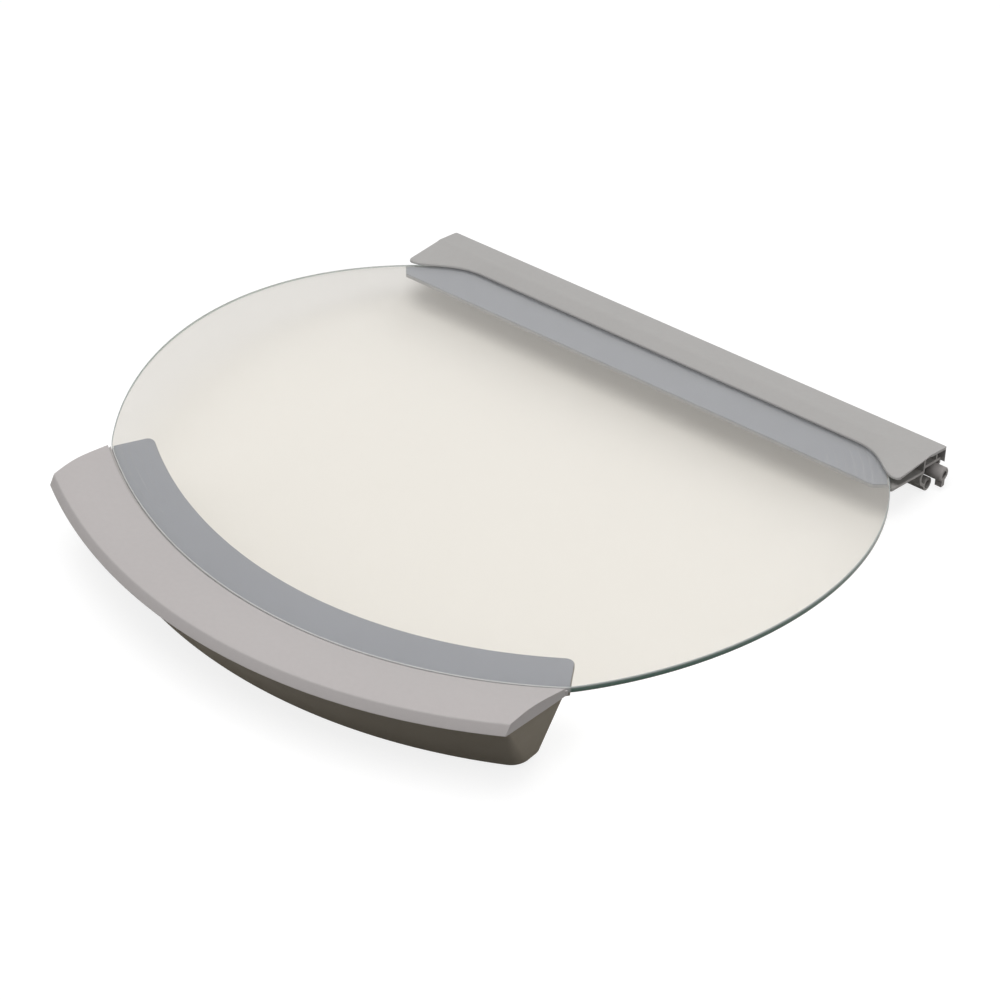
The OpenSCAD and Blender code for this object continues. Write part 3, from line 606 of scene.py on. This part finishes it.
# %% Plastic finishes
lip_finish = plastic("light_grey_plastic", rgb(190, 185, 184), rough=0.45, gloss=0.4)
shell_finish = plastic("warm_grey_plastic", rgb(148, 140, 127), rough=0.62, gloss=0.2)
cover_finish = plastic("pale_grey_plastic", rgb(182, 180, 178), rough=0.5, gloss=0.4)
bracket_finish = plastic("bracket_plastic", rgb(176, 173, 170), rough=0.5, gloss=0.3)
pin_finish = plastic("pin_plastic", rgb(160, 156, 154), rough=0.45, gloss=0.4)
bond_finish = plastic("adhesive", rgb(150, 152, 158), rough=0.6, grain=500.0, depth=0.1)
bead_finish = plastic("sealant", rgb(188, 184, 182), rough=0.6, grain=500.0, depth=0.1)
foam_finish = plastic("foam", rgb(50, 50, 52), rough=0.9, grain=700.0, depth=0.8)
rubber_finish = plastic("bumper_rubber", rgb(62, 62, 64), rough=0.75, grain=900.0, depth=0.4)
steel_finish = plastic("spring_steel", rgb(190, 191, 193), rough=0.32, grain=260.0, depth=0.2)
steel_finish.node_tree.nodes["Principled BSDF"].inputs["Metallic"].default_value = 1.0
zinc_finish = plastic("zinc_steel", rgb(176, 178, 182), rough=0.38, grain=420.0, depth=0.3)
zinc_finish.node_tree.nodes["Principled BSDF"].inputs["Metallic"].default_value = 1.0

# %% [markdown]
# Glass takes two finishes. The faces are clear with a faint warm tint and a few fine scratches
# from use. The polished edge is seen through far more glass, so it is a deep bottle green, with a
# painted highlight as a pale line along its upper arris.

# %% Glass finishes
def clear_glass():
    """Clear glass whose roughness rises along a few hair-thin scratches."""
    material, tree, shader = new_material("clear_glass")
    shader.inputs["Base Color"].default_value = (0.93, 0.925, 0.91, 1)
    shader.inputs["Transmission Weight"].default_value = 1.0
    shader.inputs["IOR"].default_value = 1.5
    place = add_node(tree, "TexCoord").outputs["Object"]
    turned = add_node(tree, "Mapping", {"Vector": place})
    turned.inputs["Rotation"].default_value = (0, 0, math.radians(62))
    turned.inputs["Scale"].default_value = (1.0, 26.0, 1.0)
    streak = add_node(tree, "TexNoise", {"Vector": turned.outputs[0]}, Scale=14.0, Detail=2.0)
    rough = add_node(tree, "MapRange", {"Value": streak.outputs["Fac"]}, clamp=True)
    for key, value in (("From Min", 0.72), ("From Max", 0.8), ("To Min", 0.0), ("To Max", 0.08)):
        rough.inputs[key].default_value = value
    tree.links.new(rough.outputs[0], shader.inputs["Roughness"])
    let_light_through(tree, shader, (0.93, 0.92, 0.89, 1))
    return material


def let_light_through(tree, shader, tint):
    """Lamps reach what lies behind the glass: their rays meet a tinted see-through shader."""
    path = add_node(tree, "LightPath")
    film = add_node(tree, "BsdfTransparent", Color=tint)
    mix = add_node(tree, "MixShader", {0: path.outputs["Is Shadow Ray"], 1: shader.outputs[0],
                                       2: film.outputs[0]})
    tree.links.new(mix.outputs[0], tree.nodes["Material Output"].inputs["Surface"])


def edge_glass():
    """The polished edge: dark green, paler towards its upper arris by a smooth step on depth, a
    painted highlight. From within the pane the far edge is seen from its back, where it is painted
    pale grey as a painted reflection. In the handle's seam no light comes in from the side, so the
    edge there is painted plain grey in place of its green, paler along the arris as a painted
    highlight."""
    material, tree, shader = new_material("glass_edge")
    level = add_node(tree, "Attribute", attribute_name="edge_level")
    ramp = add_node(tree, "ValToRGB", {"Fac": level.outputs["Fac"]})
    stops = ramp.color_ramp.elements
    # The pale stops at the top, 0 and 0.16, paint a highlight along the upper arris.
    stops[0].position, stops[0].color = 0.0, rgb(182, 188, 186)
    stops[1].position, stops[1].color = 1.0, rgb(70, 98, 88)
    for at, colour in ((0.16, rgb(152, 162, 158)), (0.3, rgb(86, 120, 107)), (0.7, rgb(60, 94, 82))):
        stop = stops.new(at)
        stop.color = colour
    seam = add_node(tree, "Attribute", attribute_name="edge_in_seam")
    below = add_node(tree, "MapRange", {"Value": level.outputs["Fac"]}, clamp=True)
    below.inputs["From Max"].default_value = 0.12
    # In the seam the edge is painted plain grey in place of its green, paler along the arris as a
    # painted highlight.
    grey = mix_colour(tree, below.outputs[0], rgb(210, 210, 209), rgb(194, 194, 194))
    outer = mix_colour(tree, seam.outputs["Fac"], ramp.outputs["Color"], grey)
    inner = add_node(tree, "NewGeometry")
    # Seen from its back within the pane, the edge is painted pale grey, a painted reflection.
    colour = mix_colour(tree, inner.outputs["Backfacing"], outer, rgb(196, 203, 199))
    tree.links.new(colour, shader.inputs["Base Color"])
    shader.inputs["Roughness"].default_value = 0.12
    shader.inputs["IOR"].default_value = 1.5
    return material


def mark_edge_level(piece):
    """Stores each point's depth below the glass's top as a share of its thickness, and 1 where
    the point lies on the front arc, in the handle's seam."""
    mesh = piece.data
    co = np.empty(len(mesh.vertices) * 3)
    mesh.vertices.foreach_get("co", co)
    co = co.reshape(-1, 3) / MM - [0, SHIFT_Y, 0]
    level = np.clip((glass_top(co[:, 1]) - co[:, 2]) / GLASS_T, 0, 1)
    in_seam = np.hypot(co[:, 0], co[:, 1] - ARC_Y) > FRONT_R - SEAM_W - 0.65
    for label, values in (("edge_level", level), ("edge_in_seam", in_seam)):
        layer = mesh.attributes.new(label, "FLOAT", "POINT")
        layer.data.foreach_set("value", values.astype(np.float32))


mark_edge_level(glass)
glass.data.materials.append(clear_glass())
glass.data.materials.append(edge_glass())

# %% Finishes for every piece and solid
lip.data.materials.append(lip_finish)
shell.data.materials.append(shell_finish)
cover.data.materials.append(cover_finish)
handle_glue.data.materials.append(bond_finish)
handle_glue.data.materials.append(bead_finish)
hinge_glue.data.materials.append(bond_finish)


def finish_node(name, material):
    """Gives a solid its finish in place of the plain colour that it came with."""
    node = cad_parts[name]
    node.data.materials.clear()
    node.data.materials.append(material)


SOLID_FINISHES = {
    "hinge_bracket": bracket_finish,
    "glass_seal": foam_finish, "left_bumper": rubber_finish, "right_bumper": rubber_finish,
    "left_pin": pin_finish, "right_pin": pin_finish,
    "left_pin_clip": steel_finish, "right_pin_clip": steel_finish,
} | {f"cover_screw_{i}": zinc_finish for i in range(1, 6)}
for node_name, finish in SOLID_FINISHES.items():
    finish_node(node_name, finish)
print(len(SOLID_FINISHES), "solids dressed")

# %% [markdown]
# The studio is a white table under a large soft lamp, with a weaker lamp from the right. The
# table and the world look white to the camera, in reflections and through the glass, but they
# send less light up to the object, so that its undersides stay in shade.

# %% Studio
def seen_white(tree):
    """1 for the rays of the eye, of a reflection and of a look through glass, otherwise 0."""
    path = add_node(tree, "LightPath")
    seen = path.outputs["Is Camera Ray"]
    for kind in ("Is Glossy Ray", "Is Transmission Ray"):
        seen = add_node(tree, "Math", {0: seen, 1: path.outputs[kind]}, operation="MAXIMUM").outputs[0]
    return seen


def floor_material(sent=0.08):
    """A white table: to the eye it is partly lit by the lamps, so that it keeps soft shadows, and
    partly glowing. Through the glass and in reflections it shows its own pale cream, and to the
    object it is a darker board."""
    material, tree, shader = new_material("white_table")
    seen = seen_white(tree)
    camera_ray = add_node(tree, "LightPath").outputs["Is Camera Ray"]
    lit = mix_colour(tree, camera_ray, (0.743, 0.735, 0.726, 1), (0.27, 0.27, 0.27, 1))
    glow = mix_colour(tree, camera_ray, (0.143, 0.128, 0.105, 1), (0.82, 0.82, 0.82, 1))
    tree.links.new(mix_colour(tree, seen, (sent,) * 3 + (1,), lit), shader.inputs["Base Color"])
    tree.links.new(mix_colour(tree, seen, (0, 0, 0, 1), glow), shader.inputs["Emission Color"])
    shader.inputs["Emission Strength"].default_value = 1.0
    shader.inputs["Roughness"].default_value = 0.9
    shader.inputs["Specular IOR Level"].default_value = 0.0
    return material


floor_mesh = bpy.data.meshes.new("table")
half = 6.0
floor_mesh.from_pydata([(-half, -half, 0), (half, -half, 0), (half, half, 0), (-half, half, 0)],
                       [], [(0, 1, 2, 3)])
floor = bpy.data.objects.new("table", floor_mesh)
floor.location.z = -0.0002
floor_mesh.materials.append(floor_material())
bpy.context.scene.collection.objects.link(floor)

world = bpy.data.worlds.new("studio")
bpy.context.scene.world = world
world.use_nodes = True
WORLD_LEVEL = 0.28


def studio_air(tree):
    """The world: a soft grey dome to the object, white to the eye and in reflections. Through the
    glass it is white near the horizon only, or the dome would light the table too strongly."""
    path = add_node(tree, "LightPath")
    rise = add_node(tree, "SeparateXYZ", {0: add_node(tree, "TexCoord").outputs["Generated"]})
    low = add_node(tree, "MapRange", {"Value": rise.outputs["Z"]}, clamp=True)
    for key, value in (("From Min", 0.15), ("From Max", 0.4), ("To Min", 1.0), ("To Max", 0.0)):
        low.inputs[key].default_value = value
    through = add_node(tree, "Math", {0: low.outputs[0], 1: path.outputs["Is Transmission Ray"]},
                       operation="MULTIPLY")
    eye = add_node(tree, "Math", {0: path.outputs["Is Camera Ray"],
                                  1: path.outputs["Is Glossy Ray"]}, operation="MAXIMUM")
    seen = add_node(tree, "Math", {0: eye.outputs[0], 1: through.outputs[0]}, operation="MAXIMUM")
    level = add_node(tree, "Math", {0: seen.outputs[0]}, operation="MULTIPLY_ADD")
    level.inputs[1].default_value = 1 - WORLD_LEVEL
    level.inputs[2].default_value = WORLD_LEVEL
    backdrop = tree.nodes["Background"]
    backdrop.inputs["Color"].default_value = (1, 1, 1, 1)
    tree.links.new(level.outputs[0], backdrop.inputs["Strength"])


studio_air(world.node_tree)


def soft_lamp(name, place, size, power):
    """A square area lamp at place that faces the middle of the lid. Its light already passes the
    glass as a shadow ray, so it doesn't count a second time for rays bent by the glass, and its
    hard outline stays out of the mirror image in the pane."""
    data = bpy.data.lights.new(name, "AREA")
    data.shape, data.size, data.energy = "SQUARE", size, power
    lamp = bpy.data.objects.new(name, data)
    lamp.location = place
    lamp.visible_transmission = lamp.visible_glossy = False
    aim = Vector((0, 0, 0.03)) - Vector(place)
    lamp.rotation_euler = aim.to_track_quat("-Z", "Y").to_euler()
    bpy.context.scene.collection.objects.link(lamp)
    return lamp


soft_lamp("top_lamp", (0.1, -0.5, 1.75), 1.1, 19)
soft_lamp("right_lamp", (1.7, 0.5, 0.5), 0.9, 6)
soft_lamp("front_lamp", (-0.7, -1.6, 0.6), 0.9, 2.5)
soft_lamp("rear_lamp", (-0.5, 1.6, 0.9), 0.9, 5)

# %% [markdown]
# The camera looks down at the lid from the front right, with a long lens and little perspective.

# %% Camera
AZIMUTH, ELEVATION, DISTANCE = math.radians(39.55), math.radians(36.93), 1.6081
LOOK_AT = Vector((0.0381, (-47.4 + SHIFT_Y) * MM, 0.047))
back = Vector((math.sin(AZIMUTH) * math.cos(ELEVATION), -math.cos(AZIMUTH) * math.cos(ELEVATION),
               math.sin(ELEVATION)))
camera_data = bpy.data.cameras.new("camera")
camera_data.lens, camera_data.sensor_width = 98.63, 36.0
camera = bpy.data.objects.new("camera", camera_data)
camera.location = LOOK_AT + back * DISTANCE
camera.rotation_euler = (-back).to_track_quat("-Z", "Y").to_euler()
bpy.context.scene.collection.objects.link(camera)
bpy.context.scene.camera = camera
bpy.context.scene.view_settings.view_transform = "Standard"

# %% Bring the scene up to date
bpy.context.view_layer.update()
